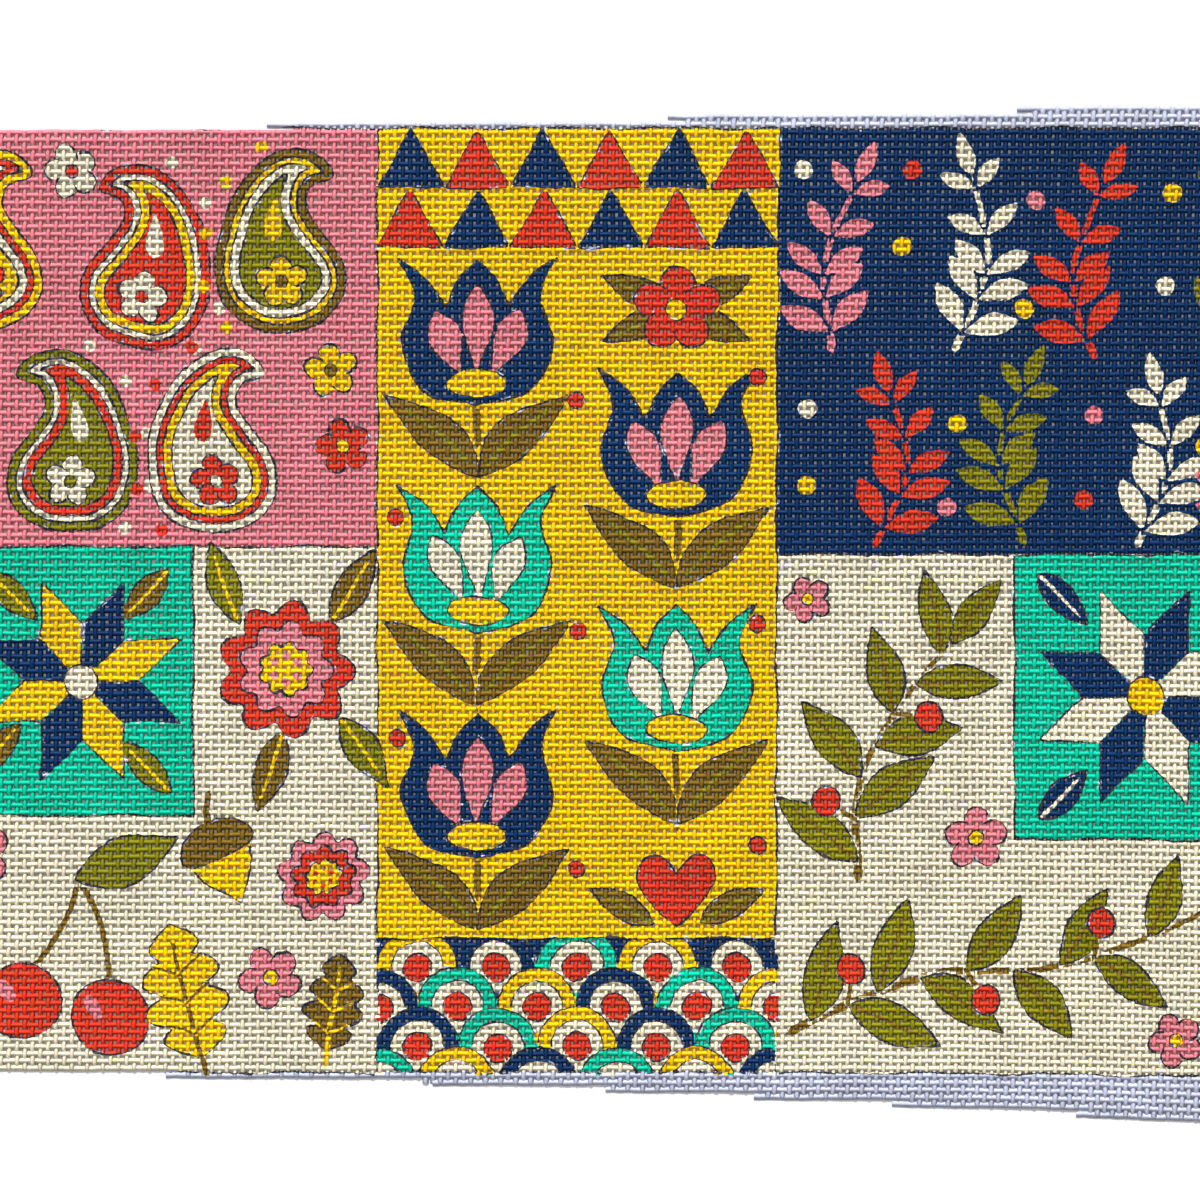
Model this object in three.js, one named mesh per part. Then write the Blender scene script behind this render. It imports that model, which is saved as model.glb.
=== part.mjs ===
// A flat panel of painted needlepoint canvas, cut from the roll with scissors.
// Units are millimetres. +X runs to the right along the painted rows, +Y points to the top of
// the design and +Z out of the painted face. The panel lies flat on z = 0.
// The origin is under the middle of the outline's bounding box.

import * as THREE from "three";

// The canvas: a plain weave of thirteen threads to the inch, two threads thick at a crossing.
const INCH = 25.4;
const MESH_COUNT = 13;
const THREAD_PITCH = INCH / MESH_COUNT;
const CLOTH_THICKNESS = 1.0;

// The painted field: 14 inches wide, and 126 threads of the canvas high.
const PAINTED_WIDTH = 14 * INCH;
const PAINTED_HEIGHT = 126 * THREAD_PITCH;

// The unpainted canvas that is left outside the field. Both ends keep a plain margin.
// The long edges were cut off square to nothing: each starts at the paint at the left end
// and runs away from it to the right, the lower one in a longer curve than the upper.
const END_MARGIN = 10.3;
const PANEL_WIDTH = PAINTED_WIDTH + 2 * END_MARGIN;
const LONG_EDGES = {
  upper: { startMargin: 0.0, slope: 0.0158, curve: 0.000016 },
  lower: { startMargin: 0.0, slope: 0.0158, curve: 0.000084 },
};

// The plain part of the left end, up to where the scissors leave the edge of the paint.
const FLUSH_LENGTH = 32;
const EDGE_STEPS = 40;

const CANVAS_COLOUR = 0xc9b27a;

// How far outside the paint a long edge lies, at a distance along the panel from its left end.
function marginAt(edge, distance) {
  const run = Math.max(0, distance - FLUSH_LENGTH);
  return edge.startMargin + edge.slope * run + edge.curve * run * run;
}

// The cut outline, with the field's bottom edge on y = 0 and the panel's left end on x = 0.
function cutOutline() {
  const upper = [];
  const lower = [];
  for (let step = 0; step <= EDGE_STEPS; step += 1) {
    const x = (PANEL_WIDTH * step) / EDGE_STEPS;
    upper.push(new THREE.Vector2(x, PAINTED_HEIGHT + marginAt(LONG_EDGES.upper, x)));
    lower.push(new THREE.Vector2(x, -marginAt(LONG_EDGES.lower, x)));
  }
  return [...lower, ...upper.reverse()];
}

// The panel as one solid: the outline at the cloth's thickness, moved over the origin.
function canvasPanel() {
  const outline = cutOutline();
  const geometry = new THREE.ExtrudeGeometry(new THREE.Shape(outline), {
    depth: CLOTH_THICKNESS,
    bevelEnabled: false,
  });
  const box = new THREE.Box2().setFromPoints(outline);
  const middle = box.getCenter(new THREE.Vector2());
  geometry.translate(-middle.x, -middle.y, 0);

  const material = new THREE.MeshStandardMaterial({
    color: CANVAS_COLOUR,
    roughness: 0.7,
    metalness: 0,
    side: THREE.DoubleSide,
  });
  const mesh = new THREE.Mesh(geometry, material);
  mesh.name = "canvas_panel";
  return mesh;
}

const part = new THREE.Group();
part.add(canvasPanel());

export default part;
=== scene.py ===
"""A hand-painted needlepoint canvas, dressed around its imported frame.

The cloth is a true plain weave. Every warp and weft thread is a closed tube that goes over and
under the threads it crosses, clipped to the askew outline that the scissors left. The paint is a
list of plain shapes, laid over each other in order. Each face of a thread keeps the one boundary
that runs through it, as a signed distance at its corners, and the material cuts the colours there,
so that an edge of the paint is sharper than the mesh.
"""

import math

import bpy
import numpy as np
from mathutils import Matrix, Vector


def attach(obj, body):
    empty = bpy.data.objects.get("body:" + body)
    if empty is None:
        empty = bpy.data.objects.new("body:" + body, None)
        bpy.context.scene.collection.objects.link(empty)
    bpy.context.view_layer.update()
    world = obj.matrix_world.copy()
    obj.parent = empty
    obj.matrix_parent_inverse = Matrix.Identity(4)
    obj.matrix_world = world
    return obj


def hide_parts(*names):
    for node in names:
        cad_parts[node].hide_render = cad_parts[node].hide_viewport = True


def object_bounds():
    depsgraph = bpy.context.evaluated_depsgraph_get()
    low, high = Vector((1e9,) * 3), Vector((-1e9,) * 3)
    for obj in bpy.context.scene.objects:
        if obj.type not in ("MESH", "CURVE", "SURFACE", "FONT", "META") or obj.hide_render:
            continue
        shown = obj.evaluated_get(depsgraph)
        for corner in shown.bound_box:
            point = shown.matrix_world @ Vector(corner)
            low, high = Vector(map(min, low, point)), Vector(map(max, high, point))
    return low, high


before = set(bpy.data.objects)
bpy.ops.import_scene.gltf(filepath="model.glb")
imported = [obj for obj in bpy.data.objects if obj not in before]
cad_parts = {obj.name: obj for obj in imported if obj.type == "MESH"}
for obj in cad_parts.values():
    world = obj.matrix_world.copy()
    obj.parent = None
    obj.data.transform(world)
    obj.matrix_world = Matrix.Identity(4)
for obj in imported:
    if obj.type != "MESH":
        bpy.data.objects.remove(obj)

cad_low, cad_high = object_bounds()

# All sizes below are in millimetres. MM turns them into metres.
MM = 0.001
LEFT, RIGHT = cad_low.x / MM, cad_high.x / MM
BOTTOM = cad_low.y / MM
CLOTH_THICKNESS = (cad_high.z - cad_low.z) / MM

# The painted field, and the margins that the scissors left above and below it, as in the frame.
PAINTED_WIDTH = 14 * 25.4
PAINTED_HEIGHT = 126 * 25.4 / 13
FLUSH_LENGTH = 32.0
UPPER_EDGE = {"slope": 0.0158, "curve": 0.000016}
LOWER_EDGE = {"slope": 0.0158, "curve": 0.000084}


def cut_margin(edge, x):
    """How far outside the painted field a long edge was cut, at x."""
    run = np.maximum(0.0, x - LEFT - FLUSH_LENGTH)
    return edge["slope"] * run + edge["curve"] * run**2


FIELD_BOTTOM = BOTTOM + float(cut_margin(LOWER_EDGE, RIGHT))
FIELD_TOP = FIELD_BOTTOM + PAINTED_HEIGHT
FIELD_RIGHT = PAINTED_WIDTH / 2
FIELD_LEFT = -FIELD_RIGHT
FIELD_MIDDLE = (FIELD_BOTTOM + FIELD_TOP) / 2


# Camera, light and floor

# VIEW_WIDTH is how much of the table the photograph's frame shows.
VIEW_WIDTH = 312.6
VIEW_CENTRE = (0.0, 4.2)
LENS = 100.0
SENSOR = 36.0
CLIP = (10.0, 20000.0)


def add_object(name, data):
    """A new object in the scene."""
    thing = bpy.data.objects.new(name, data)
    bpy.context.scene.collection.objects.link(thing)
    return thing


def add_camera():
    """Straight above the sheet, with the photograph's frame at the height of the cloth."""
    data = bpy.data.cameras.new("camera")
    data.lens = LENS
    data.sensor_width = SENSOR
    data.clip_start = CLIP[0] * MM
    data.clip_end = CLIP[1] * MM
    camera = add_object("camera", data)
    height = VIEW_WIDTH * LENS / SENSOR + CLOTH_THICKNESS
    camera.location = Vector((VIEW_CENTRE[0], VIEW_CENTRE[1], height)) * MM
    bpy.context.scene.camera = camera


SUN = {"height": 25.0, "bearing": 6.0, "spread": 7.0, "strength": 5.55}
ROOM_STRENGTH = 0.53
ROOM_COLOUR = (0.98, 0.97, 0.98, 1.0)
FLOOR_HALF_WIDTH = 2500.0
FLOOR_COLOUR = (0.83, 0.83, 0.84, 1.0)
FLOOR_ROUGHNESS = 0.85


def add_lights():
    """A low window light from the top of the design, and a pale room all round."""
    data = bpy.data.lights.new("window", "SUN")
    data.energy = SUN["strength"]
    data.angle = math.radians(SUN["spread"])
    window = add_object("window", data)
    window.rotation_euler = (math.radians(SUN["height"] - 90), 0, math.radians(SUN["bearing"]))
    world = bpy.data.worlds.new("room")
    world.use_nodes = True
    background = world.node_tree.nodes["Background"]
    background.inputs["Color"].default_value = ROOM_COLOUR
    background.inputs["Strength"].default_value = ROOM_STRENGTH
    scene = bpy.context.scene
    scene.world = world
    scene.view_settings.view_transform = "Standard"
    scene.view_settings.look = "None"


def add_floor():
    """A plain white table top under the cloth."""
    half = FLOOR_HALF_WIDTH * MM
    mesh = bpy.data.meshes.new("floor")
    corners = [(-half, -half, 0), (half, -half, 0), (half, half, 0), (-half, half, 0)]
    mesh.from_pydata(corners, [], [(0, 1, 2, 3)])
    floor = add_object("floor", mesh)
    material = bpy.data.materials.new("table_white")
    material.use_nodes = True
    shader = material.node_tree.nodes["Principled BSDF"]
    shader.inputs["Base Color"].default_value = FLOOR_COLOUR
    shader.inputs["Roughness"].default_value = FLOOR_ROUGHNESS
    mesh.materials.append(material)


# The lie of the threads
# A place on the cloth is (u, v): where it would lie if the weave were quite square.
# sheet_place turns it into the place where it lies on the table.

COLUMN_PITCH = {"left": 2.075, "right": 1.79}
ROW_PITCH = {"top": 2.058, "bottom": 1.876}
ROWS_ABOVE = 5
ROWS_BELOW = 9


def spaced(first_pitch, last_pitch, length, index):
    """The distance of a thread from the first one, where the pitch changes evenly."""
    count = 2 * length / (first_pitch + last_pitch)
    return first_pitch * index + (last_pitch - first_pitch) / count * index**2 / 2


def column_u(index):
    """How far to the right a column of the weave lies."""
    width = RIGHT - LEFT
    return LEFT + spaced(COLUMN_PITCH["left"], COLUMN_PITCH["right"], width, index + 0.5)


def row_v(index):
    """How far up a row of the weave lies. Row 0 is the first below the field's upper edge."""
    drop = spaced(ROW_PITCH["top"], ROW_PITCH["bottom"], PAINTED_HEIGHT, index + 0.5)
    return FIELD_TOP - drop


COLUMNS = int(2 * (RIGHT - LEFT) / sum(COLUMN_PITCH.values()))
FIRST_ROW = -ROWS_ABOVE
LAST_ROW = int(2 * PAINTED_HEIGHT / sum(ROW_PITCH.values())) + ROWS_BELOW

# The weave is pulled a little out of square: the columns lean to the right in the upper right
# corner, and the rows droop in the lower right one, more so in the bare margin.
LEAN = {"reach": 150.0, "rate": 0.00036}
DROOP = {"start": 60.0, "reach": 96.0, "depth": 1.0, "growth": 0.09}


def sheet_place(u, v):
    """Where a point of the cloth lies on the table."""
    up = np.maximum(0.0, v)
    right = np.maximum(0.0, u) / LEAN["reach"]
    x = u + LEAN["rate"] * right * up**2 / 2
    along = np.maximum(0.0, u - DROOP["start"]) / DROOP["reach"]
    down = np.clip(-v / PAINTED_HEIGHT * 2, 0.0, 1.0)
    depth = DROOP["depth"] * down + DROOP["growth"] * np.maximum(0.0, FIELD_BOTTOM - v)
    y = v - depth * along**2
    return x, y


def inside_by(x, y):
    """How far inside the cut outline a point on the table is."""
    above = y - (FIELD_BOTTOM - cut_margin(LOWER_EDGE, x))
    below = FIELD_TOP + cut_margin(UPPER_EDGE, x) - y
    return np.minimum(np.minimum(above, below), np.minimum(x - LEFT, RIGHT - x))


# The threads
# A warp thread has more crimp than a weft thread, so the weft runs straighter and the warp
# stands up in small bumps. "pressed" is half the thickness of a thread where it crosses another, and
# "round" is half of it between. The crown number is painted shade on its top between its high
# points: how bright the top is painted there.

WARP = {"half_width": 0.67, "pressed": 0.18, "round": 0.25, "crimp": 0.32, "crown_shade": 0.62}
WEFT = {"half_width": 0.66, "pressed": 0.21, "round": 0.30, "crimp": 0.10, "crown_shade": 0.95}
SIDES = 4
SHOULDER_DROP = {"over": 0.19, "elsewhere": 0.11}

# Threads without paint are a little fuller. The levels tell the material how far up the left, top,
# right and bottom of a thread lie, which sets the painted shade there. Bare shoulders count as
# higher, so that they get less painted shade.
BARE_FULLNESS = 1.14
PAINTED_LEVELS = (0.5, 1.0, 0.5, 0.0)
BARE_SHADE_LEVELS = (0.62, 1.0, 0.62, 0.0)

# Wavelengths and sizes of the sideways drift, and how much widths and crimp differ
WANDER = [(31.0, 0.07), (13.0, 0.05), (5.3, 0.03)]
THREAD_SPREAD = 0.05
WIDTH_SPREAD = 0.045
CRIMP_SPREAD = 0.10

# The cut: how uneven it is, how far inside it the weft stops, how far the warp reaches past the last
# row, and how flat the cloth is pressed towards it
FRAY = 0.15
LAST_WEFT_INSIDE = 0.1
STUB = 0.6
EDGE_PRESS = {"reach": 3.5, "share": 0.42}
ALONG_START = 50.0

rng = np.random.default_rng(20)


def wander(length_along):
    """The slow sideways drift of one thread, at distances along it."""
    drift = np.zeros_like(length_along)
    for wavelength, size in WANDER:
        phase = rng.uniform(0, 2 * math.pi)
        drift += size * np.sin(length_along * 2 * math.pi / wavelength + phase)
    return drift


def past_last_weft(v, rows, inside):
    """How far points of a warp thread lie past the last weft thread that it crosses."""
    crossings = v[(rows % 1 == 0) & (inside > LAST_WEFT_INSIDE + FRAY)]
    return np.maximum(v - crossings[0], crossings[-1] - v)


def cut_off(u, v, sizes, room):
    """The stretch of a thread that has room inside the cut outline, as a table of its centre line
    and its sizes."""
    x, y = sheet_place(u, v)
    room = room - rng.uniform(0.0, FRAY)
    within = np.flatnonzero(room > 0)
    if len(within) < 2:
        return None
    first, last = within[0], within[-1]
    line = np.stack([u, v, x, y, *sizes], axis=1)
    cut = line[first : last + 1]

    def cut_end(kept, lost):
        """The point between two others where the room runs out."""
        share = room[kept] / (room[kept] - room[lost])
        return line[kept] + (line[lost] - line[kept]) * share

    if first > 0:
        cut = np.vstack([cut_end(first, first - 1), cut])
    if last < len(line) - 1:
        cut = np.vstack([cut, cut_end(last, last + 1)])
    return cut


def is_bare(u, v):
    """Whether places on the cloth lie outside the painted field."""
    return (v > FIELD_TOP) | (v < FIELD_BOTTOM) | (np.abs(u) > FIELD_RIGHT)


def thread_rings(line):
    """Four points round each point of a centre line: left, top, right and bottom."""
    u, v, x, y, height, width, tall, drop, _ = line.T
    width = width * np.where(is_bare(u, v), BARE_FULLNESS, 1.0)
    direction = np.gradient(np.stack([x, y], axis=1), axis=0)
    direction /= np.linalg.norm(direction, axis=1, keepdims=True)
    left = np.stack([-direction[:, 1], direction[:, 0]], axis=1) * width[:, None]
    table = np.repeat(np.stack([x, y, height], axis=1)[:, None], SIDES, axis=1)
    cloth = np.repeat(np.stack([u, v], axis=1)[:, None], SIDES, axis=1)
    table[:, 0, :2] += left
    table[:, 2, :2] -= left
    table[:, (0, 2), 2] -= drop[:, None]
    cloth[:, 0] += left
    cloth[:, 2] -= left
    table[:, 1, 2] += tall
    table[:, 3, 2] -= tall
    settled = np.clip(inside_by(x, y) / EDGE_PRESS["reach"], 0.0, 1.0)
    table[:, :, 2] *= (EDGE_PRESS["share"] + (1 - EDGE_PRESS["share"]) * settled)[:, None]
    return table, cloth


def thread_sizes(kind, steps, goes_over):
    """Height, half width, half thickness, drop of the shoulders and the painted shade on the crown of
    one thread, at every crossing and between them."""
    crossing = steps % 1 == 0
    up = np.where(crossing, np.where(goes_over, 1.0, -1.0), 0.0)
    crimp = kind["crimp"] * (1 - CRIMP_SPREAD * rng.uniform(0, 1, len(steps)))
    height = CLOTH_THICKNESS / 2 + up * crimp
    own = 1 + THREAD_SPREAD * rng.normal()
    width = kind["half_width"] * own * (1 + WIDTH_SPREAD * rng.normal(0, 1, len(steps)))
    tall = np.where(crossing, kind["pressed"], kind["round"])
    drop = np.where(up > 0, SHOULDER_DROP["over"], SHOULDER_DROP["elsewhere"])
    # Painted shade: the top is painted full bright where the thread goes over and darker between.
    crown_shade = np.where(up > 0, 1.0, kind["crown_shade"])
    return height, width, tall, drop, crown_shade


class Threads:
    """All tubes of one piece of the cloth, gathered before they become a mesh."""

    def __init__(self):
        self.table, self.cloth, self.faces, self.along = [], [], [], []
        self.caps, self.cap_along = [], []
        self.level = []
        self.points = 0

    def add(self, line):
        """Adds the tube round a centre line, closed at both ends."""
        table, cloth = thread_rings(line)
        rings = len(line)
        ring = np.arange(rings - 1)[:, None] * SIDES + self.points
        side = np.arange(SIDES)[None, :]
        after = (side + 1) % SIDES
        corners = [ring + side, ring + after, ring + SIDES + after, ring + SIDES + side]
        self.faces.append(np.stack(corners, axis=2).reshape(-1, 4))
        self.table.append(table.reshape(-1, 3))
        self.cloth.append(cloth.reshape(-1, 2))
        level = np.tile(PAINTED_LEVELS, (rings, 1))
        level[is_bare(line[:, 0], line[:, 1])] = BARE_SHADE_LEVELS
        # The top's level is the crown's painted shade, so the material paints dips darker.
        level[:, 1] = line[:, -1]
        self.level.append(level.ravel())
        step = np.hypot(*np.diff(line[:, 2:4], axis=0).T)
        run = np.concatenate([[0], np.cumsum(step)]) + rng.uniform(0, ALONG_START)
        start, end, low = np.broadcast_arrays(run[:-1, None], run[1:, None], side / SIDES)
        high = low + 1 / SIDES
        corners = [(start, low), (start, high), (end, high), (end, low)]
        places = [np.stack(corner, axis=2) for corner in corners]
        self.along.append(np.stack(places, axis=2).reshape(-1, 4, 2))
        last = self.points + (rings - 1) * SIDES
        around = np.arange(SIDES)
        self.caps.append(np.array([self.points + (-around) % SIDES, last + around]))
        ends = run[[0, -1]][:, None] + 0.1 * around
        self.cap_along.append(np.stack([ends, np.zeros((2, SIDES))], axis=2))
        self.points += rings * SIDES


BANDS = 6


def band_starts():
    """The first column of each band of the cloth, and one past the last."""
    return np.linspace(0, COLUMNS, BANDS + 1).round().astype(int)


def weave():
    """Every thread of the cloth, sorted into bands. A weft thread passes from band to band where
    it runs under a warp thread, so that no joint shows."""
    bands = [Threads() for _ in range(BANDS)]
    starts = band_starts()
    rows = np.arange(2 * FIRST_ROW, 2 * LAST_ROW + 1) / 2
    columns = np.arange(-1, 2 * COLUMNS) / 2
    for column in range(COLUMNS):
        goes_over = (np.floor(rows).astype(int) + column) % 2 == 0
        v = row_v(rows)
        u = column_u(column) + wander(v)
        inside = inside_by(*sheet_place(u, v))
        room = np.minimum(inside, STUB - past_last_weft(v, rows, inside))
        line = cut_off(u, v, thread_sizes(WARP, rows, goes_over), room)
        if line is not None:
            bands[int(np.searchsorted(starts, column, side="right")) - 1].add(line)
    for row in range(FIRST_ROW, LAST_ROW + 1):
        goes_over = (np.floor(columns).astype(int) + row) % 2 == 1
        u = column_u(columns)
        v = row_v(row) + wander(u)
        room = inside_by(*sheet_place(u, v)) - LAST_WEFT_INSIDE
        line = cut_off(u, v, thread_sizes(WEFT, columns, goes_over), room)
        if line is None:
            continue
        joints = [-np.inf]
        for start in starts[1:-1]:
            under = start if (start + row) % 2 == 0 else start - 1
            joints.append(float(column_u(under)))
        joints.append(np.inf)
        for band, low_u, high_u in zip(bands, joints, joints[1:]):
            part = line[(line[:, 0] >= low_u - 1e-6) & (line[:, 0] <= high_u + 1e-6)]
            if len(part) >= 2:
                band.add(part)
    return bands


# The paint

def srgb(code):
    """A linear colour from a six-digit code."""
    values = np.array([int(code[i : i + 2], 16) for i in (0, 2, 4)]) / 255
    return np.where(values <= 0.04045, values / 12.92, ((values + 0.055) / 1.055) ** 2.4)


TINY = 1e-12
BARE = srgb("BABFD3")
INK = srgb("34323A")
PAINTS = {
    "pink": srgb("E4808A"),
    "navy": srgb("022E5D"),
    "gold": srgb("FAC800"),
    "teal": srgb("00C6A0"),
    "cream": srgb("EDE4C7"),
    "coral": srgb("D8371F"),
    "olive": srgb("827E08"),
    "brown": srgb("7C6018"),
}

# A face whose middle lies this near to a boundary or to the side of a stroke holds it. FAR stands for
# a boundary that is nowhere near.
NEAR = 0.75
STROKE_NEAR = 0.45
FAR = 9.0

# The hand wavers by these wavelengths and sizes, and each load of the brush has its own tone.
SHAKE = [(37.0, 0.24), (17.0, 0.14)]
LOAD_TONES = (0.93, 1.05)


def distance_to(points, outline, closed=True):
    """Distance from points to an outline, with the nearest edge, the place along it, and a number
    whose sign tells the side of it."""
    start = outline if closed else outline[:-1]
    end = np.roll(outline, -1, axis=0) if closed else outline[1:]
    edge = end - start
    reach = points[:, None] - start
    along = np.clip((reach * edge).sum(-1) / np.maximum((edge**2).sum(-1), TINY), 0, 1)
    gap = reach - along[..., None] * edge
    squared = (gap**2).sum(-1)
    nearest = squared.argmin(1)
    pick = np.arange(len(points)), nearest
    return np.sqrt(squared[pick]), nearest, along[pick], np.cross(edge[nearest], reach[pick])


def signed_distance(points, outline):
    """Distance to a closed outline, negative inside it."""
    distance = distance_to(points, outline)[0]
    start, end = outline, np.roll(outline, -1, axis=0)
    x, y = points[:, :1], points[:, 1:]
    spans = (start[:, 1] > y) != (end[:, 1] > y)
    rise = np.where(end[:, 1] == start[:, 1], TINY, end[:, 1] - start[:, 1])
    meets = start[:, 0] + (y - start[:, 1]) / rise * (end[:, 0] - start[:, 0])
    inside = (spans & (x < meets)).sum(1) % 2 == 1
    return np.where(inside, -distance, distance)


def hand_drawn(points):
    """Places of the design as a free hand would put them, a little off a straight line."""
    moved = points.copy()
    for wavelength, size in SHAKE:
        rate = 2 * math.pi / wavelength
        moved[..., 0] += size * np.sin(rate * (points[..., 1] + 0.37 * points[..., 0]))
        moved[..., 1] += size * np.sin(rate * (1.13 * points[..., 0] - 0.29 * points[..., 1]) + 1.0)
    return moved


class Painting:
    """What colour each face of the threads is on either side of the boundary through it. A pen
    line has its half width in pen, and a brush stroke has its half width there below nought."""

    def __init__(self, corners):
        self.corners = corners
        self.centres = corners.mean(axis=1)
        count = len(corners)
        self.inside = np.tile(BARE, (count, 1))
        self.outside = np.tile(BARE, (count, 1))
        self.line = np.tile(INK, (count, 1))
        self.edge = np.full((count, 4), FAR)
        self.pen = np.zeros(count)
        self.brush_loads = np.random.default_rng(11)

    def around(self, outline, reach):
        """The faces near an outline. No paint goes past the edge of the painted field."""
        low, high = outline.min(0) - reach, outline.max(0) + reach
        low = np.maximum(low, (FIELD_LEFT - NEAR, FIELD_BOTTOM - NEAR))
        high = np.minimum(high, (FIELD_RIGHT + NEAR, FIELD_TOP + NEAR))
        return np.flatnonzero(((self.centres > low) & (self.centres < high)).all(axis=1))

    def start_boundary(self, chosen):
        """What shows on the chosen faces now becomes the outside of their new boundary."""
        was_inside = self.edge[chosen].mean(axis=1) < 0
        self.outside[chosen] = np.where(
            was_inside[:, None], self.inside[chosen], self.outside[chosen]
        )

    def area(self, outline, colour, pen=0.0, inset=0.0):
        """Fills a closed outline with a named paint, and draws a pen line of that half width round
        it. An inset keeps the paint that far inside the outline."""
        outline = np.asarray(outline, float)
        colour = PAINTS[colour] * self.brush_loads.uniform(*LOAD_TONES)
        chosen = self.around(outline, NEAR)
        distance = signed_distance(self.centres[chosen], outline) + inset
        full = chosen[distance <= -NEAR]
        self.inside[full] = colour
        self.outside[full] = colour
        self.edge[full] = -FAR
        self.pen[full] = 0.0
        border = chosen[np.abs(distance) < NEAR]
        self.start_boundary(border)
        self.inside[border] = colour
        corners = self.corners[border].reshape(-1, 2)
        self.edge[border] = signed_distance(corners, outline).reshape(-1, 4) + inset
        self.pen[border] = pen
        self.line[border] = INK

    def stroke(self, points, colour, half_widths):
        """Draws a thin line of a named paint. Its half width changes along it."""
        points = np.asarray(points, float)
        given = np.linspace(0, 1, len(half_widths))
        widths = np.interp(np.linspace(0, 1, len(points)), given, half_widths)
        reach = NEAR + widths.max()
        chosen = self.around(points, reach)
        distance, nearest, along, _ = distance_to(self.centres[chosen], points, closed=False)
        width = widths[nearest] * (1 - along) + widths[nearest + 1] * along
        near = distance < width + STROKE_NEAR
        chosen, width = chosen[near], width[near]
        self.start_boundary(chosen)
        self.inside[chosen] = self.outside[chosen]
        corners = self.corners[chosen].reshape(-1, 2)
        distance, _, _, turn = distance_to(corners, points, closed=False)
        self.edge[chosen] = (distance * np.where(turn < 0, -1, 1)).reshape(-1, 4)
        self.pen[chosen] = -width
        self.line[chosen] = PAINTS[colour]


def rectangle(left, bottom, right, top):
    """The four corners of a straight-sided patch."""
    return np.array([(left, bottom), (right, bottom), (right, top), (left, top)], float)


# Plain outlines, each in its own frame, with its foot on the origin or its middle there

def placed(points, at=(0.0, 0.0), turn=0.0, size=1.0, flip=False):
    """Points scaled, mirrored left to right if wanted, turned anticlockwise, and moved."""
    points = np.asarray(points, float) * size
    if flip:
        points = points * (-1.0, 1.0)
    angle = math.radians(turn)
    cos, sin = math.cos(angle), math.sin(angle)
    return points @ np.array([[cos, sin], [-sin, cos]]) + at


def smooth(points, closed=True, steps=6):
    """A curve through the points."""
    points = np.asarray(points, float)
    count = len(points)
    spans = count if closed else count - 1
    t = np.linspace(0, 1, steps, endpoint=False)[:, None]
    curve = []
    for i in range(spans):
        near = np.arange(i - 1, i + 3)
        near = near % count if closed else np.clip(near, 0, count - 1)
        before, start, end, after = points[near]
        curve.append(
            start
            + t * (end - before) / 2
            + t**2 * (2 * before - 5 * start + 4 * end - after) / 2
            + t**3 * (3 * start - before - 3 * end + after) / 2
        )
    if not closed:
        curve.append(points[-1:])
    return np.concatenate(curve)


def oval(width, height, steps=22):
    """An oval round the origin."""
    angle = np.linspace(0, 2 * math.pi, steps, endpoint=False)
    return np.stack([np.cos(angle) * width / 2, np.sin(angle) * height / 2], axis=1)


def mirrored(half):
    """A closed outline from its right half, which runs from the foot to the tip."""
    return np.concatenate([half, (half * (-1, 1))[-2:0:-1]])


def leaf(length, width, bend=0.0, fullest=0.45, steps=11):
    """A pointed leaf that stands on the origin. bend moves its tip sideways."""
    t = np.linspace(0, 1, steps)
    power = math.log(0.5) / math.log(fullest)
    half = width / 2 * np.sin(math.pi * t**power)
    outline = mirrored(np.stack([half, length * t], axis=1))
    outline[:, 0] += bend * length * (outline[:, 1] / length) ** 2
    return outline


def lobed_leaf(length, width, lobes=4, depth=0.55, steps=49):
    """An oak leaf that stands on the origin, with round lobes and narrow bays."""
    t = np.linspace(0, 1, steps)
    bays = 1 - depth * (1 - np.abs(np.sin(math.pi * lobes * t))) ** 1.3
    half = width / 2 * np.sin(math.pi * t**0.8) ** 0.6 * bays
    return mirrored(np.stack([half, length * t], axis=1))


def scallop(petals, radius, depth=0.24):
    """A round outline of shallow petals."""
    angle = np.linspace(0, 2 * math.pi, petals * 9, endpoint=False)
    reach = radius * (1 - depth * (1 - np.abs(np.cos(petals * angle / 2))))
    return np.stack([np.cos(angle) * reach, np.sin(angle) * reach], axis=1)


def paisley(height):
    """A paisley that stands on its belly, its tip curled to the right."""
    shape = [
        (0.00, 0.00), (0.20, 0.04), (0.33, 0.18), (0.34, 0.36), (0.25, 0.54), (0.19, 0.68),
        (0.24, 0.79), (0.37, 0.82), (0.30, 0.95), (0.11, 1.00), (-0.10, 0.90), (-0.26, 0.70),
        (-0.35, 0.46), (-0.34, 0.22), (-0.20, 0.05),
    ]
    return smooth(shape, steps=4) * height


def tulip(width, height):
    """The cup of a folk tulip that stands on the origin, with three points."""
    right = smooth([(0, 0), (0.36, 0.10), (0.52, 0.42), (0.44, 0.74), (0.56, 1.0)], closed=False)
    valley = smooth([(0.56, 1.0), (0.36, 0.86), (0.22, 0.66)], closed=False)
    point = smooth([(0.22, 0.66), (0.14, 0.84), (0.0, 0.98)], closed=False)
    return mirrored(np.concatenate([right[:-1], valley[:-1], point])) * (width, height)


def heart(size):
    """A heart that stands on its point."""
    shape = [(0, 0), (0.30, 0.28), (0.50, 0.62), (0.40, 0.90), (0.18, 0.92), (0, 0.70)]
    return mirrored(smooth(shape, closed=False)) * size


def ring_of(count, radius, start=90.0):
    """Places round a circle, each with the direction away from its middle."""
    for i in range(count):
        angle = start + 360.0 * i / count
        yield radius * np.array([math.cos(math.radians(angle)), math.sin(math.radians(angle))]), angle


def heading(step):
    """How far the direction of a step is turned from straight up, in degrees."""
    return math.degrees(math.atan2(step[1], step[0])) - 90


# Motifs. Each takes the painting, where it stands and its colours. OUTLINE and FINE_OUTLINE are the
# half widths of the pen lines.

OUTLINE = 0.26
FINE_OUTLINE = 0.20
PAISLEY_INSETS = (0.0, 2.3, 4.0, 6.4)
PAISLEY_DOTS = {"width": 3.4, "gap": 3.6}


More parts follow.
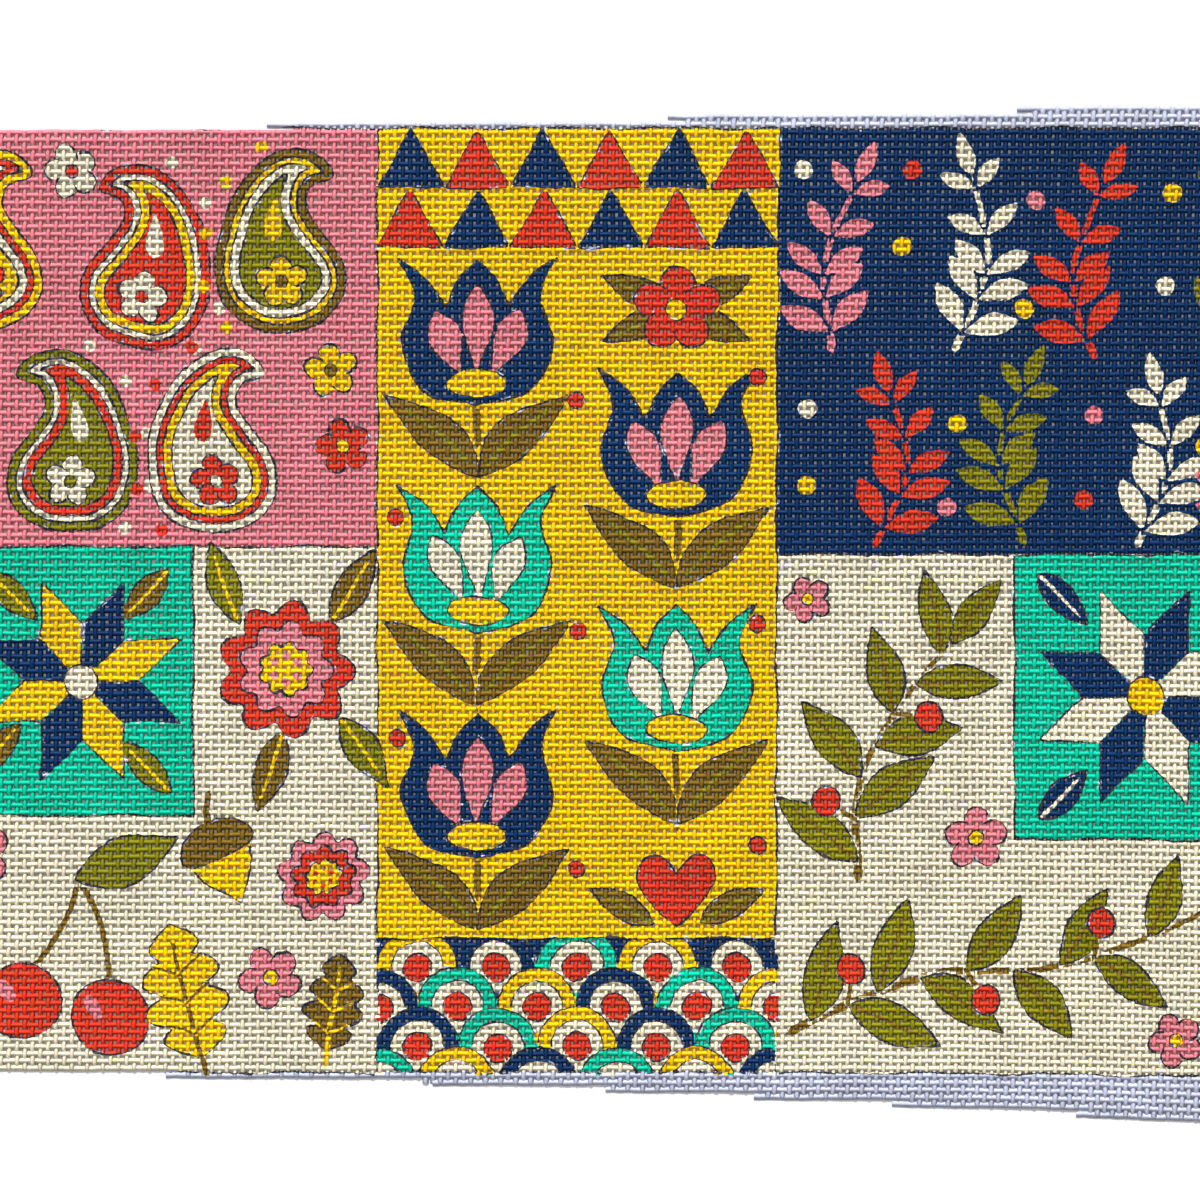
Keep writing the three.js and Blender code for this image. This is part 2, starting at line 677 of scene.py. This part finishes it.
def paint_dot(painting, at, width, colour, pen=0.0):
    """A round dot."""
    painting.area(oval(width, width) + at, colour, pen)


def paint_leaf(painting, at, length, width, turn, colour, rib, bend=0.0):
    """A pointed leaf with its midrib."""
    painting.area(placed(leaf(length, width, bend), at, turn), colour, OUTLINE)
    line = [(0, 0.08), (bend * 0.2, 0.45), (bend * 0.62, 0.8)]
    painting.stroke(placed(line, at, turn, length), rib, [0.5, 0.35])


def paint_blossom(painting, at, radius, colour, centre, turn=0.0):
    """A flower of five round petals."""
    petal = oval(radius * 0.80, radius * 0.90)
    for place, angle in ring_of(5, radius * 0.58, 90 + turn):
        painting.area(placed(petal, place + at, angle - 90), colour, OUTLINE)
    paint_dot(painting, at, radius * 0.85, colour)
    paint_dot(painting, at, radius * 0.5, centre, FINE_OUTLINE)


def paint_rosette(painting, at, radius, colours, turn=0.0):
    """A round flower of scalloped rings with a dotted heart."""
    for share, colour in zip((1.0, 0.70, 0.40), colours):
        painting.area(placed(scallop(9, radius * share), at, turn), colour, OUTLINE)
    for place, _ in ring_of(6, radius * 0.19):
        paint_dot(painting, place + at, radius * 0.13, colours[1])


def paint_paisley(painting, at, height, turn, flip, colours):
    """A paisley in rings of colour round a flower, with dots along its back."""
    local = paisley(height)
    outline = placed(local, at, turn, 1.0, flip)
    for inset, colour in zip(PAISLEY_INSETS, colours):
        painting.area(outline, colour, OUTLINE, inset)
    belly = placed([(0, 0.28 * height)], at, turn, 1.0, flip)[0]
    paint_blossom(painting, belly, height * 0.14, colours[1], colours[0], turn)
    neck = placed(leaf(height * 0.26, height * 0.10, 0.2, 0.3), (-0.02 * height, 0.5 * height), -2)
    painting.area(placed(neck, at, turn, 1.0, flip), colours[1])
    middle = np.array((0.06, 0.44)) * height
    for point in local[2::4]:
        outward = point - middle
        outward /= np.linalg.norm(outward)
        if point[0] < 0.1 * height and outward[1] > -0.75:
            dot = placed([point + outward * PAISLEY_DOTS["gap"]], at, turn, 1.0, flip)[0]
            paint_dot(painting, dot, PAISLEY_DOTS["width"], colours[1])


def paint_sprig(painting, points, colour):
    """A curved stem with pairs of leaflets that grow smaller to its tip."""
    length, width = 15.0, 6.2
    pairs = 5
    stem = smooth(points, closed=False, steps=8)
    painting.stroke(stem, colour, [0.95, 0.6])
    for order, place in enumerate(np.linspace(0.14, 0.84, pairs) * (len(stem) - 1)):
        index = int(place)
        turn = heading(stem[min(index + 1, len(stem) - 1)] - stem[index - 1])
        share = 1 - 0.38 * order / pairs
        for side in (-1, 1):
            shape = leaf(length * share, width * share, bend=0.12 * side, fullest=0.55)
            painting.area(placed(shape, stem[index], turn - side * 46), colour)
    tip = leaf(length * 0.8, width * 0.75)
    painting.area(placed(tip, stem[-3], heading(stem[-1] - stem[-3])), colour)


def paint_tulip(painting, at, height, colour, petal):
    """A folk tulip on a short stem between two brown leaves."""
    cup = np.array((0.0, height * 0.33))
    stem = placed([(0, 0), (0, height * 0.4)], at)
    painting.stroke(smooth(stem, closed=False), "brown", [1.0, 0.9])
    for side in (-1, 1):
        blade = leaf(height * 0.56, height * 0.19, bend=0.22 * side)
        painting.area(placed(blade, at, -side * 36), "brown", FINE_OUTLINE)
        rib = [(0, 5), (side * 1.2, height * 0.26), (side * 4.2, height * 0.44)]
        painting.stroke(placed(rib, at, -side * 36), "olive", [0.55, 0.4])
    painting.area(tulip(height * 0.66, height * 0.68) + cup + at, colour, OUTLINE)
    for side, lean, length in ((-1, 23, 0.36), (1, -23, 0.36), (0, 0, 0.45)):
        foot = cup + (side * height * 0.06, height * 0.11)
        blade = leaf(height * length, height * 0.15, fullest=0.64)
        painting.area(placed(blade, foot + at, lean), petal, FINE_OUTLINE)
    heel = oval(height * 0.28, height * 0.13) + cup + (0, height * 0.10)
    painting.area(heel + at, "gold", FINE_OUTLINE)


def paint_star(painting, at, radius, first, second):
    """An eight-pointed quilt star in two colours. Its valleys lie where the four sides of each
    diamond are about equal."""
    valley = radius / 1.848
    reach = np.array([valley, radius, valley])
    for index in range(8):
        angles = np.radians([45 * index, 45 * index + 22.5, 45 * index + 45])
        rim = np.stack([np.cos(angles) * reach, np.sin(angles) * reach], axis=1)
        diamond = np.vstack([[0.0, 0.0], rim]) + at
        painting.area(diamond, first if index % 2 else second, FINE_OUTLINE)


def paint_cherries(painting, at, size):
    """Two cherries on their stalks under a leaf."""
    top = np.array((0.05, 0.55))
    for foot in ((-0.30, -0.12), (0.28, -0.22)):
        bow = (top + foot) / 2 + (0.07, 0.0)
        stalk = smooth([foot, bow, top], closed=False)
        painting.stroke(placed(stalk, at, size=size), "brown", [0.75])
    blade = leaf(size * 0.80, size * 0.34, bend=-0.1)
    painting.area(placed(blade, at + np.array((0.02, 0.55)) * size, -74), "olive", OUTLINE)
    for place in ((-0.34, -0.30), (0.28, -0.42)):
        middle = at + np.array(place) * size
        painting.area(oval(size * 0.56, size * 0.53) + middle, "coral", OUTLINE)
        shine = oval(size * 0.10, size * 0.18)
        painting.area(placed(shine, middle + np.array((-0.12, 0.07)) * size, 30), "pink")


def paint_acorn(painting, at, size, turn=0.0):
    """An acorn, its cup up."""
    right = [(0, -0.64), (0.09, -0.52), (0.31, -0.24), (0.33, 0.05), (0.0, 0.06)]
    nut = mirrored(smooth(right, closed=False))
    painting.area(placed(nut, at, turn, size), "gold", OUTLINE)
    cup = smooth([(-0.43, 0.02), (-0.34, 0.28), (0, 0.42), (0.34, 0.28), (0.43, 0.02), (0, -0.07)])
    painting.area(placed(cup, at, turn, size), "brown", OUTLINE)
    stalk = [(0, 0.36), (0.05, 0.56), (0.16, 0.72)]
    painting.stroke(placed(stalk, at, turn, size), "brown", [0.9, 0.7])


def paint_oak_leaf(painting, at, length, turn, colour, vein):
    """An oak leaf with its midrib and side veins."""
    painting.area(placed(lobed_leaf(length, length * 0.62), at, turn), colour, OUTLINE)
    rib = [(0, -0.14), (0, 0.4), (0, 0.84)]
    painting.stroke(placed(rib, at, turn, length), vein, [0.75, 0.4])
    for level in (0.27, 0.5, 0.72):
        for side in (-1, 1):
            branch = [(0, level - 0.10), (side * 0.17, level)]
            painting.stroke(placed(branch, at, turn, length), vein, [0.4, 0.3])


def paint_branch(painting, points, leaves, size, fruit):
    """A bent twig with alternate leaves, each with its midrib, and a few fruits."""
    stem = smooth(points, closed=False, steps=10)
    painting.stroke(stem, "brown", [1.2, 0.6])
    for order in range(leaves):
        index = int((0.05 + 0.86 * order / (leaves - 1)) * (len(stem) - 2)) + 1
        lean = heading(stem[index] - stem[index - 1])
        side = 1 if order % 2 else -1
        length = size * (1.0 - 0.22 * order / leaves)
        turn = lean - side * 44
        paint_leaf(painting, stem[index], length, length * 0.40, turn, "olive", "brown", 0.10 * side)
        if order % 3 == 1:
            berry = stem[index] + placed([(0, size * 0.34)], (0, 0), lean + side * 58)[0]
            painting.stroke([stem[index], berry], "brown", [0.6])
            painting.area(oval(size * 0.27, size * 0.29) + berry, fruit, OUTLINE)
    turn = heading(stem[-1] - stem[-4])
    paint_leaf(painting, stem[-2], size * 0.8, size * 0.3, turn, "olive", "brown")


# The design: a sampler of straight-sided patches, each with a traditional motif of its own.
# Heights are counted from the middle of the painted field.

HALF = PAINTED_HEIGHT / 2
PATCHES = {
    "paisleys": {"box": (FIELD_LEFT, 14, -58, HALF), "ground": "pink"},
    "geese": {"box": (-58, 92, 46, HALF), "ground": "gold"},
    "sprigs": {"box": (46, 12, FIELD_RIGHT, HALF), "ground": "navy"},
    "tulips": {"box": (-58, -88, 46, 92), "ground": "gold"},
    "clamshells": {"box": (-58, -HALF, 46, -88), "ground": "navy"},
    "left_star": {"box": (FIELD_LEFT, -56, -106, 14), "ground": "teal"},
    "right_star": {"box": (108, -62, FIELD_RIGHT, 12), "ground": "teal"},
}


def field_point(x, y):
    """A place counted from the middle of the painted field."""
    return np.array((x, y + FIELD_MIDDLE), float)


def paint_grounds(painting):
    """The cream field, and the coloured patches on it."""
    painting.area(rectangle(FIELD_LEFT, FIELD_BOTTOM, FIELD_RIGHT, FIELD_TOP), "cream", FINE_OUTLINE)
    for patch in PATCHES.values():
        left, bottom, right, top = patch["box"]
        outline = rectangle(left, bottom, right, top) + (0, FIELD_MIDDLE)
        painting.area(outline, patch["ground"], OUTLINE)


def paint_paisleys(painting):
    """The pink patch. The list says where each paisley stands, its turn, whether it is mirrored, and
    its rings from the rim inward."""
    rows = [
        ((-160, 70), 8, False, ("gold", "coral", "cream", "gold")),
        ((-122, 66), -12, True, ("coral", "cream", "gold", "coral")),
        ((-81, 70), 8, False, ("brown", "gold", "cream", "olive")),
        ((-140, 18), -8, True, ("olive", "cream", "coral", "olive")),
        ((-98, 18), 10, False, ("cream", "coral", "gold", "cream")),
    ]
    for place, turn, flip, rings in rows:
        paint_paisley(painting, field_point(*place), 47, turn, flip, rings)
    blossoms = [
        (-170, 34, "cream", "gold"), (-67, 40, "coral", "gold"), (-138, 112, "cream", "coral"),
        (-70, 60, "gold", "brown"),
    ]
    for x, y, colour, centre in blossoms:
        paint_blossom(painting, field_point(x, y), 7.0, colour, centre, x * 3.0)


def paint_geese(painting):
    """Rows of triangles, as in a quilt of flying geese."""
    left, bottom, right, top = PATCHES["geese"]["box"]
    columns, rows = 6, 2
    width = (right - left) / columns
    height = (top - bottom) / rows
    for row in range(rows):
        for column in range(columns):
            foot = field_point(left + width * column, bottom + height * row)
            goose = np.array([(0, 0), (width, 0), (width / 2, height)]) + foot
            colour = "coral" if (row + column) % 2 == 0 else "navy"
            painting.area(goose, colour, FINE_OUTLINE)


def paint_sprigs(painting):
    """The navy patch: leafy sprigs, each on three points from foot to tip, and dots."""
    sprigs = [
        ([(60, 66), (58, 88), (68, 114)], "pink"), ([(92, 66), (100, 88), (94, 116)], "cream"),
        ([(128, 64), (122, 86), (132, 114)], "coral"), ([(160, 68), (166, 90), (160, 116)], "olive"),
        ([(72, 15), (80, 36), (74, 58)], "coral"), ([(110, 16), (104, 38), (112, 60)], "olive"),
        ([(140, 15), (148, 34), (144, 58)], "cream"), ([(170, 16), (166, 36), (172, 58)], "pink"),
    ]
    for points, colour in sprigs:
        paint_sprig(painting, [field_point(*p) for p in points], colour)
    dots = [
        (54, 30, "gold"), (54, 50, "cream"), (90, 24, "pink"), (93, 46, "gold"), (126, 26, "coral"),
        (128, 48, "pink"), (78, 92, "gold"), (80, 112, "coral"), (112, 104, "pink"),
        (110, 76, "gold"), (146, 82, "cream"), (147, 106, "gold"), (157, 40, "gold"),
        (52, 112, "cream"),
    ]
    for x, y, colour in dots:
        paint_dot(painting, field_point(x, y), 5.0, colour)


def paint_tulips(painting):
    """The gold patch: two columns of tulips, with a flower above, a heart below and dots between."""
    flowers = [
        (-32, -86, "navy", "pink"), (-32, -27, "teal", "cream"), (-32, 32, "navy", "pink"),
        (20, -58, "teal", "cream"), (20, 3, "navy", "pink"),
    ]
    for x, y, colour, petal in flowers:
        paint_tulip(painting, field_point(x, y), 57, colour, petal)
    for turn in (-66, 66, -114, 114):
        paint_leaf(painting, field_point(20, 76), 21, 7.5, turn, "brown", "olive")
    paint_blossom(painting, field_point(20, 76), 11, "coral", "gold")
    for side in (-1, 1):
        paint_leaf(painting, field_point(20 + side * 6, -84), 19, 7, -side * 62, "brown", "olive")
    painting.area(placed(heart(20), field_point(20, -85)), "coral", OUTLINE)
    for x, y in ((-53, -36), (-53, 22), (-6, -70), (-6, -8), (-6, 52), (41, -64), (41, -6), (41, 58)):
        paint_dot(painting, field_point(x, y), 4.4, "coral", FINE_OUTLINE)


def paint_clamshells(painting):
    """Rows of overlapping shells, from the top down, each kept inside the patch."""
    left, bottom, right, top = PATCHES["clamshells"]["box"]
    columns = 5
    radius = (right - left) / columns / 2
    box = rectangle(left, bottom, right, top) + (0, FIELD_MIDDLE)
    order = ["gold", "navy", "teal"]
    for row in range(3, -1, -1):
        for column in range(-1, columns + 1):
            x = left + radius * (2 * column + (1 if row % 2 else 2))
            centre = field_point(x, bottom + radius * (row - 0.35))
            colour = order[(row + column) % 3]
            for share, paint in ((1.0, colour), (0.66, "cream"), (0.36, "coral")):
                disc = oval(radius * 2 * share, radius * 2 * share) + centre
                painting.area(np.clip(disc, box[0], box[2]), paint, FINE_OUTLINE)


def paint_stars(painting):
    """The teal patches: a quilt star in each, with leaves in the corners."""
    left, right = field_point(-135, -21), field_point(142, -25)
    leaves = [
        (-112, -50, 45, "olive"), (-163, -46, -40, "brown"), (-112, 8, 135, "brown"),
        (-160, 8, -135, "olive"),
    ]
    for x, y, turn, colour in leaves:
        paint_leaf(painting, field_point(x, y), 19, 7.5, turn, colour, "gold")
    paint_star(painting, left, 28, "navy", "gold")
    paint_dot(painting, left, 9, "cream", FINE_OUTLINE)
    paint_star(painting, right, 30, "navy", "cream")
    paint_dot(painting, right, 10, "gold", FINE_OUTLINE)
    for x, y, turn in ((114, 7, -135), (114, -57, -45), (171, 7, 135), (171, -57, 45)):
        paint_leaf(painting, field_point(x, y), 19, 7.5, turn, "navy", "cream")


def paint_orchard(painting):
    """The left cream patch: cherries, acorns, oak leaves and round flowers."""
    leaves = [
        (-82, -34, 160, "brown"), (-68, -30, 215, "olive"), (-94, -6, 20, "olive"),
        (-70, -6, -30, "brown"),
    ]
    for x, y, turn, colour in leaves:
        paint_leaf(painting, field_point(x, y), 23, 8.5, turn, colour, "gold")
    paint_rosette(painting, field_point(-82, -18), 18, ("coral", "pink", "gold"))
    paint_cherries(painting, field_point(-138, -93), 37)
    paint_oak_leaf(painting, field_point(-104, -119), 36, 14, "gold", "brown")
    paint_acorn(painting, field_point(-99, -66), 22, 24)
    paint_acorn(painting, field_point(-169, -104), 22, -14)
    paint_rosette(painting, field_point(-72, -72), 12, ("pink", "coral", "gold"), 10)
    paint_oak_leaf(painting, field_point(-71, -117), 25, -8, "brown", "gold")
    paint_blossom(painting, field_point(-86, -98), 8, "pink", "gold", 30)
    paint_blossom(painting, field_point(-163, -66), 9, "pink", "gold", 12)


def paint_branches(painting):
    """The right cream patch: branches with olive leaves and red fruits."""
    branches = [
        ([(67, -72), (68, -46), (78, -28), (92, -10)], 7),
        ([(50, -112), (84, -98), (124, -94), (168, -76)], 10),
    ]
    for places, leaves in branches:
        paint_branch(painting, [field_point(*place) for place in places], leaves, 27, "coral")
    for x, y, radius, turn in ((98, -62, 8, 0), (54, 0, 6, 25), (150, -114, 7, 25)):
        paint_blossom(painting, field_point(x, y), radius, "pink", "gold", turn)


def paint_design(painting):
    """The whole design, ground first."""
    for paint in (
        paint_grounds, paint_paisleys, paint_geese, paint_sprigs, paint_tulips, paint_clamshells,
        paint_stars, paint_orchard, paint_branches,
    ):
        paint(painting)


# The material

PLIES = 2
TWISTS_PER_MM = 0.9
RELIEF = 0.03
RELIEF_STRENGTH = 0.6
SHINE = 0.12

# How far the edge of the paint strays, and where near it the brush missed the canvas
WOBBLE = 0.28
MISSED = {"reach": 0.6, "above": 0.64}

# Painted shade: how bright the paint is painted at the rim of a hole, on a flank and on a crown
RIM_SHADE_TONE = 0.74
FLANK_SHADE_TONE = 0.88
CROWN_SHADE_TONE = 0.98


def painted_thread_material():
    """Cotton thread under acrylic paint. The faces say which colours meet on them and where."""
    material = bpy.data.materials.new("painted_canvas_thread")
    material.use_nodes = True
    nodes, links = material.node_tree.nodes, material.node_tree.links
    shader = nodes["Principled BSDF"]

    def attribute(name):
        node = nodes.new("ShaderNodeAttribute")
        node.attribute_name = name
        return node

    def calculate(operation, *values):
        node = nodes.new("ShaderNodeMath")
        node.operation = operation
        for socket, value in zip(node.inputs, values):
            if isinstance(value, (int, float)):
                socket.default_value = value
            else:
                links.new(value, socket)
        return node.outputs[0]

    def product(*factors):
        result = factors[0]
        for factor in factors[1:]:
            result = calculate("MULTIPLY", result, factor)
        return result

    def mix(factor, first, second):
        node = nodes.new("ShaderNodeMix")
        node.data_type = "RGBA"
        links.new(factor, node.inputs["Factor"])
        for name, value in (("A", first), ("B", second)):
            socket = [s for s in node.inputs if s.name == name and s.type == "RGBA"][0]
            if isinstance(value, np.ndarray):
                socket.default_value = (*[float(c) for c in value], 1.0)
            else:
                links.new(value, socket)
        return [s for s in node.outputs if s.type == "RGBA"][0]

    place = nodes.new("ShaderNodeTexCoord").outputs["Object"]

    def noise(scale, detail=2.0):
        node = nodes.new("ShaderNodeTexNoise")
        node.inputs["Scale"].default_value = scale
        node.inputs["Detail"].default_value = detail
        links.new(place, node.inputs["Vector"])
        return node.outputs["Fac"]

    def ramp(value, low, high, at_low, at_high):
        node = nodes.new("ShaderNodeMapRange")
        names = ("From Min", "From Max", "To Min", "To Max")
        for name, number in zip(names, (low, high, at_low, at_high)):
            node.inputs[name].default_value = number
        links.new(value, node.inputs["Value"])
        return node.outputs["Result"]

    def mottle(scale, least, most, low=0.3, high=0.7):
        """Soft patches of a given fineness, whose values run between two numbers."""
        return ramp(noise(scale), low, high, least, most)

    # Where the boundary runs, how strongly the pen drew it, and where the brush missed the canvas.
    wobble = mottle(700.0, -WOBBLE, WOBBLE, 0.2, 0.8)
    edge = calculate("ADD", attribute("edge").outputs["Fac"], wobble)
    away = calculate("ABSOLUTE", edge)
    pen = attribute("pen").outputs["Fac"]
    pressure = mottle(210.0, 0.35, 1.45, 0.36, 0.62)
    outlined = calculate("LESS_THAN", away, product(pen, pressure))
    stroked = calculate("LESS_THAN", away, product(pen, -1.0))
    missed = product(
        calculate("GREATER_THAN", pen, 0.0),
        calculate("LESS_THAN", away, MISSED["reach"]),
        calculate("GREATER_THAN", noise(330.0), MISSED["above"]),
    )
    within = calculate("LESS_THAN", edge, 0.0)
    paint = mix(within, attribute("outside").outputs["Color"], attribute("inside").outputs["Color"])
    paint = mix(missed, paint, BARE)
    line = attribute("line").outputs["Color"]
    paint = mix(calculate("MAXIMUM", outlined, stroked), paint, line)

    # Painted shade: the paint is painted bright on the crown of a thread, darker on its flanks, and
    # darkest at the rims of the holes. Each thread takes it a little differently, and whole brush
    # loads differ more.
    height = attribute("height").outputs["Fac"]
    shade_and_tone = product(
        ramp(height, 0.50, 0.58, RIM_SHADE_TONE, 1.0),
        ramp(height, 0.55, 0.95, FLANK_SHADE_TONE, CROWN_SHADE_TONE),
        mottle(24.0, 0.94, 1.05),
        mottle(110.0, 0.88, 1.10),
        mottle(1100.0, 0.93, 1.07),
    )
    # The paint colour times the painted shade and the random tones.
    shaded_and_toned = nodes.new("ShaderNodeVectorMath")
    shaded_and_toned.operation = "SCALE"
    links.new(paint, shaded_and_toned.inputs[0])
    links.new(shade_and_tone, shaded_and_toned.inputs["Scale"])

    # The paint soaks in from the face, and thins out towards the back.
    depth = ramp(height, 0.16, 0.0, 0.0, 0.25)
    soak = product(depth, mottle(420.0, 0.25, 1.2, 0.35, 0.6))
    colour = mix(soak, shaded_and_toned.outputs[0], BARE)
    links.new(colour, shader.inputs["Base Color"])

    # The twist of the plies shows through the paint as low diagonal ridges.
    thread = nodes.new("ShaderNodeUVMap")
    thread.uv_map = "Thread"
    parts = nodes.new("ShaderNodeSeparateXYZ")
    links.new(thread.outputs["UV"], parts.inputs["Vector"])
    along = product(parts.outputs["X"], TWISTS_PER_MM)
    turns = calculate("ADD", along, product(parts.outputs["Y"], float(PLIES)))
    ridge = calculate("SINE", product(turns, 2 * math.pi))
    relief = calculate("ADD", product(ridge, 0.5), product(noise(2600.0, 3.0), 1.2))
    bump = nodes.new("ShaderNodeBump")
    bump.inputs["Strength"].default_value = RELIEF_STRENGTH
    bump.inputs["Distance"].default_value = RELIEF * MM
    links.new(relief, bump.inputs["Height"])
    links.new(bump.outputs["Normal"], shader.inputs["Normal"])
    links.new(mottle(900.0, 0.50, 0.68), shader.inputs["Roughness"])
    shader.inputs["Specular IOR Level"].default_value = SHINE
    return material


# The meshes

# The gap above each cell of the bake map, and the length of a cell, in heights of one side
BAKE_GAP = 0.3
CELL_LENGTH = 1.63


def bake_map(faces):
    """A place in the unit square for each face, so that a baked picture has room for every one:
    each segment of thread in a cell with its four sides on top of each other, then the cut ends."""
    cells = math.ceil(faces / SIDES)
    cell_height = SIDES + BAKE_GAP
    columns = math.ceil(math.sqrt(cells * cell_height / CELL_LENGTH))
    rows = math.ceil(cells / columns)
    face = np.arange(faces)
    cell = face // SIDES
    u = (cell % columns)[:, None] + np.array([0, 0, 1, 1])
    v = (cell // columns * cell_height + face % SIDES)[:, None] + np.array([0, 1, 1, 0])
    return np.stack([u / columns, v / (rows * cell_height)], axis=2)


def thread_mesh(name, threads, material):
    """The tubes of one band as a mesh, with two maps, and with the painting on its faces."""
    table = np.concatenate(threads.table) * MM
    cloth = np.concatenate(threads.cloth)
    faces = np.concatenate(threads.faces + threads.caps)
    along = np.concatenate(threads.along + threads.cap_along)
    mesh = bpy.data.meshes.new(name)
    mesh.vertices.add(len(table))
    mesh.vertices.foreach_set("co", table.ravel())
    mesh.loops.add(faces.size)
    mesh.loops.foreach_set("vertex_index", faces.ravel().astype(np.int32))
    mesh.polygons.add(len(faces))
    mesh.polygons.foreach_set("loop_start", np.arange(0, faces.size, 4, dtype=np.int32))
    mesh.polygons.foreach_set("use_smooth", np.ones(len(faces), bool))
    mesh.update(calc_edges=True)
    for label, places in (("Thread", along), ("OFBake", bake_map(len(faces)))):
        layer = mesh.uv_layers.new(name=label)
        layer.data.foreach_set("uv", places.astype(np.float32).ravel())

    painting = Painting(hand_drawn(cloth[faces]))
    paint_design(painting)

    def keep(label, domain, values, kind="FLOAT", slot="value"):
        """Adds a layer of numbers or colours that the material reads."""
        layer = mesh.attributes.new(label, kind, domain)
        layer.data.foreach_set(slot, values.astype(np.float32).ravel())

    for label in ("inside", "outside", "line"):
        keep(label, "FACE", getattr(painting, label), "FLOAT_VECTOR", "vector")
    keep("pen", "FACE", painting.pen)
    keep("edge", "CORNER", painting.edge)
    # The heights also carry painted shade: the crowns' dips and the lighter bare shoulders.
    keep("height", "POINT", np.concatenate(threads.level))
    mesh.materials.append(material)
    return add_object(name, mesh)


def add_cloth():
    """The cloth: bands of threads, each a mesh of its own, which lie on the floor as one sheet."""
    material = painted_thread_material()
    pieces = []
    sides = [LEFT, *(float(column_u(start)) for start in band_starts()[1:-1]), RIGHT]
    for number, (threads, x_low, x_high) in enumerate(zip(weave(), sides, sides[1:]), 1):
        piece = thread_mesh(f"canvas_band_{number}", threads, material)
        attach(piece, "root")
        pieces.append(piece)
    for piece in pieces:
        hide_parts("canvas_panel")


add_camera()
add_lights()
add_floor()
add_cloth()
